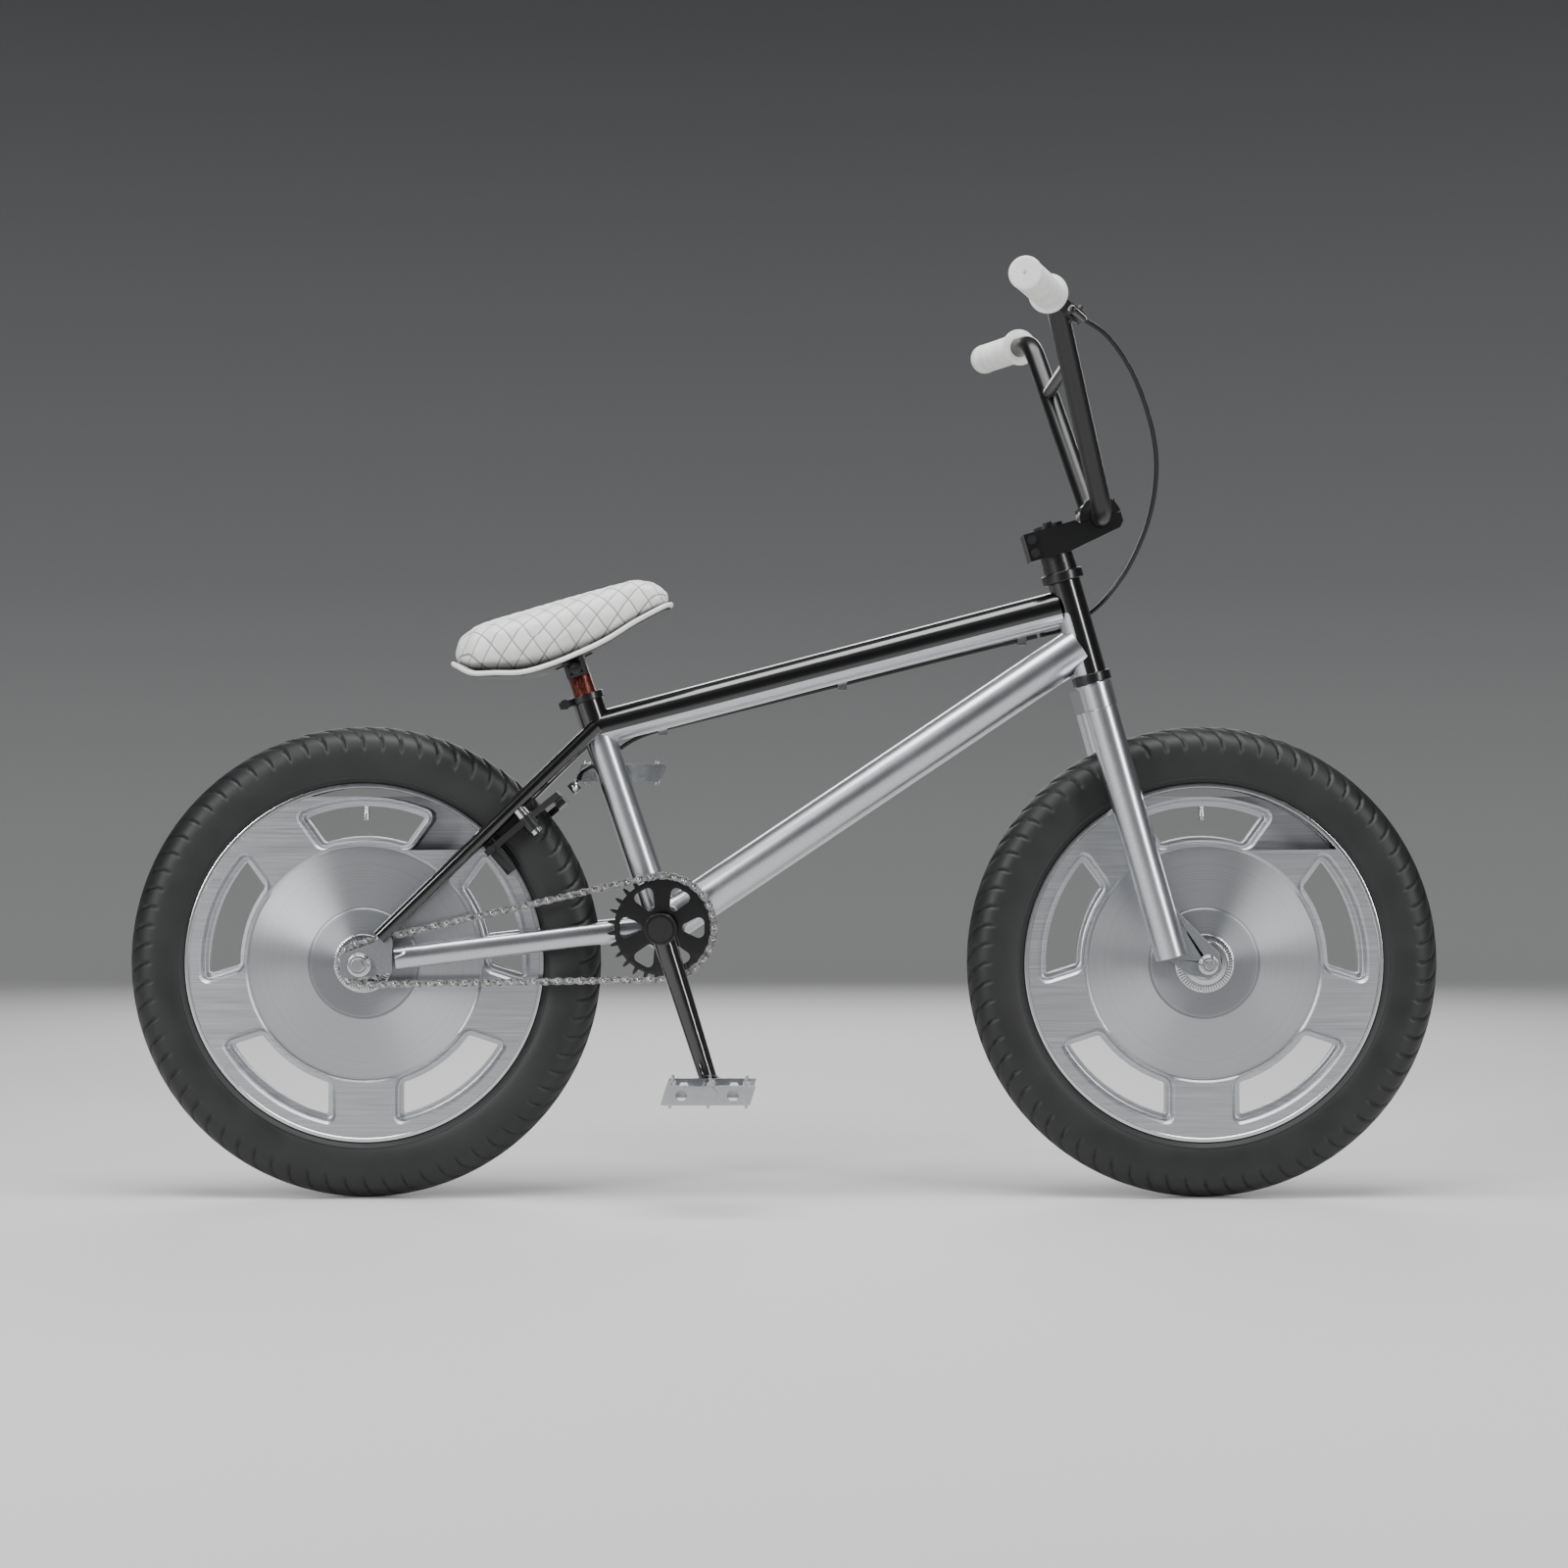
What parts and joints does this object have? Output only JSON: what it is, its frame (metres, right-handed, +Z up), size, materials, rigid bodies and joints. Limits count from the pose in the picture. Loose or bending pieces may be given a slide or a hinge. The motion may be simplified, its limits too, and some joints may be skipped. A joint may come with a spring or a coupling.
{
  "type": "bmx bike",
  "caption": "Single-speed freestyle bicycle with cast five-window disc wheels, high-rise bar with crossbar, rear rim brake and a quilted pivotal saddle.",
  "frame": {"origin": "on the ground, midway between the two axles, in the bike's centre plane", "axes": "+X forward towards the front wheel, +Y to the rider's left, +Z up"},
  "size_m": [1.445, 0.6596, 0.9898],
  "materials": {
    "black_gloss_paint": "gloss",
    "silver_paint": "satin metallic",
    "dropout_steel": "satin",
    "black_anodised": "satin black anodised",
    "black_steel": "black oxide",
    "polished_steel": "polished",
    "chain_steel": "oiled",
    "cable_housing": "satin",
    "bar_paint": "satin black",
    "grip_rubber": "matte white",
    "tyre_rubber": "matte",
    "turned_aluminium": "turned and brushed",
    "pedal_aluminium": "tumbled",
    "brake_alloy": "black anodised",
    "red_anodised_post": "copper red anodised",
    "saddle_shell": "moulded",
    "quilted_leather": "white quilted"
  },
  "bodies": {
    "frame": {"head_tube": "black_gloss_paint", "top_tube": "black_gloss_paint", "down_tube": "silver_paint", "seat_tube": "silver_paint", "bottom_bracket_shell": "silver_paint", "seat_stays": "black_gloss_paint", "chain_stays": "silver_paint", "rear_dropouts": "dropout_steel", "headset_cups": "black_anodised", "bottom_bracket_bearings": "polished_steel", "seat_clamp": "black_anodised", "seat_clamp_bolt": "black_steel", "rear_axle": "polished_steel", "rear_axle_nuts": "polished_steel", "brake_posts": "polished_steel", "cable_guides": "polished_steel", "rear_brake_cable": "cable_housing", "straddle_cable": "polished_steel", "chain": "chain_steel"},
    "steering": {"fork_steerer": "polished_steel", "fork_crown": "silver_paint", "fork_legs": "silver_paint", "fork_dropouts": "dropout_steel", "headset_spacers": "black_anodised", "stem": "black_anodised", "stem_cap": "black_anodised", "stem_bolts": "black_steel", "handlebar": "bar_paint", "crossbar": "bar_paint", "grips": "grip_rubber", "bar_end_plugs": "grip_rubber", "lever_bracket": "black_anodised", "front_axle": "polished_steel", "front_axle_nuts": "polished_steel", "brake_cable_loop": "cable_housing"},
    "front_wheel_body": {"front_tyre": "tyre_rubber", "front_wheel": "turned_aluminium", "front_hub_bearings": "polished_steel", "front_valve": "polished_steel"},
    "rear_wheel_body": {"rear_tyre": "tyre_rubber", "rear_wheel": "turned_aluminium", "rear_hub_bearings": "polished_steel", "rear_valve": "polished_steel"},
    "cog_body": {"rear_cog": "chain_steel"},
    "crank_body": {"crank_spindle": "black_steel", "sprocket": "bar_paint", "right_crank_arm": "bar_paint", "left_crank_arm": "bar_paint", "pedal_axles": "black_steel"},
    "right_pedal_body": {"right_pedal": "pedal_aluminium"},
    "left_pedal_body": {"left_pedal": "pedal_aluminium"},
    "lever_body": {"brake_lever": "black_anodised"},
    "right_brake": {"right_brake_arm": "brake_alloy", "right_brake_shoe": "tyre_rubber"},
    "left_brake": {"left_brake_arm": "brake_alloy", "left_brake_shoe": "tyre_rubber"},
    "seat_post_body": {"seat_post": "red_anodised_post", "saddle_bolt": "black_steel"},
    "saddle_body": {"saddle_base": "saddle_shell", "saddle_pad": "quilted_leather"}
  },
  "joints": [
    {"name": "steer", "type": "hinge", "parent": "frame", "child": "steering", "pos_m": [0.31, 0, 0.681], "axis": [-0.2756, 0, 0.9613], "range_deg": [-80, 80], "deforming": ["brake_cable_loop"]},
    {"name": "front_wheel_spin", "type": "hinge", "parent": "steering", "child": "front_wheel_body", "pos_m": [0.4625, 0, 0.26], "axis": [0, 1, 0], "continuous": true},
    {"name": "rear_wheel_spin", "type": "hinge", "parent": "frame", "child": "rear_wheel_body", "pos_m": [-0.4625, 0, 0.26], "axis": [0, 1, 0], "continuous": true},
    {"name": "crank_spin", "type": "hinge", "parent": "frame", "child": "crank_body", "pos_m": [-0.1332, 0, 0.3], "axis": [0, 1, 0], "continuous": true, "deforming": ["chain"]},
    {"name": "cog_spin", "type": "hinge", "parent": "frame", "child": "cog_body", "pos_m": [-0.4625, 0, 0.26], "axis": [0, 1, 0], "continuous": true},
    {"name": "right_pedal_spin", "type": "hinge", "parent": "crank_body", "child": "right_pedal_body", "pos_m": [-0.07967, -0.148, 0.13024], "axis": [0, 1, 0], "continuous": true},
    {"name": "left_pedal_spin", "type": "hinge", "parent": "crank_body", "child": "left_pedal_body", "pos_m": [-0.18673, 0.148, 0.46976], "axis": [0, 1, 0], "continuous": true},
    {"name": "brake_lever_pull", "type": "hinge", "parent": "steering", "child": "lever_body", "pos_m": [0.30422, -0.20138, 0.94762], "axis": [-0.5972, 0.1504, -0.7879], "range_deg": [0, 16], "stiffness_Nm_per_rad": 0.6, "springref_deg": -20.05},
    {"name": "right_brake_squeeze", "type": "hinge", "parent": "frame", "child": "right_brake", "pos_m": [-0.27865, -0.038, 0.41427], "axis": [0.6428, 0, -0.766], "range_deg": [0, 2]},
    {"name": "left_brake_squeeze", "type": "hinge", "parent": "frame", "child": "left_brake", "pos_m": [-0.27865, 0.038, 0.41427], "axis": [-0.6428, 0, 0.766], "range_deg": [0, 2]},
    {"name": "seat_height", "type": "slide", "parent": "frame", "child": "seat_post_body", "axis": [-0.3206, 0, 0.9472], "range_m": [-0.015, 0.06]},
    {"name": "saddle_tilt", "type": "hinge", "parent": "seat_post_body", "child": "saddle_body", "pos_m": [-0.22938, 0, 0.58416], "axis": [0, 1, 0], "range_deg": [-6, 6]}
  ],
  "couplings": [
    {"joint": "cog_spin", "follows": "crank_spin", "ratio": 2.5455},
    {"joint": "right_brake_squeeze", "follows": "brake_lever_pull", "ratio": 0.125},
    {"joint": "left_brake_squeeze", "follows": "brake_lever_pull", "ratio": 0.125}
  ]
}
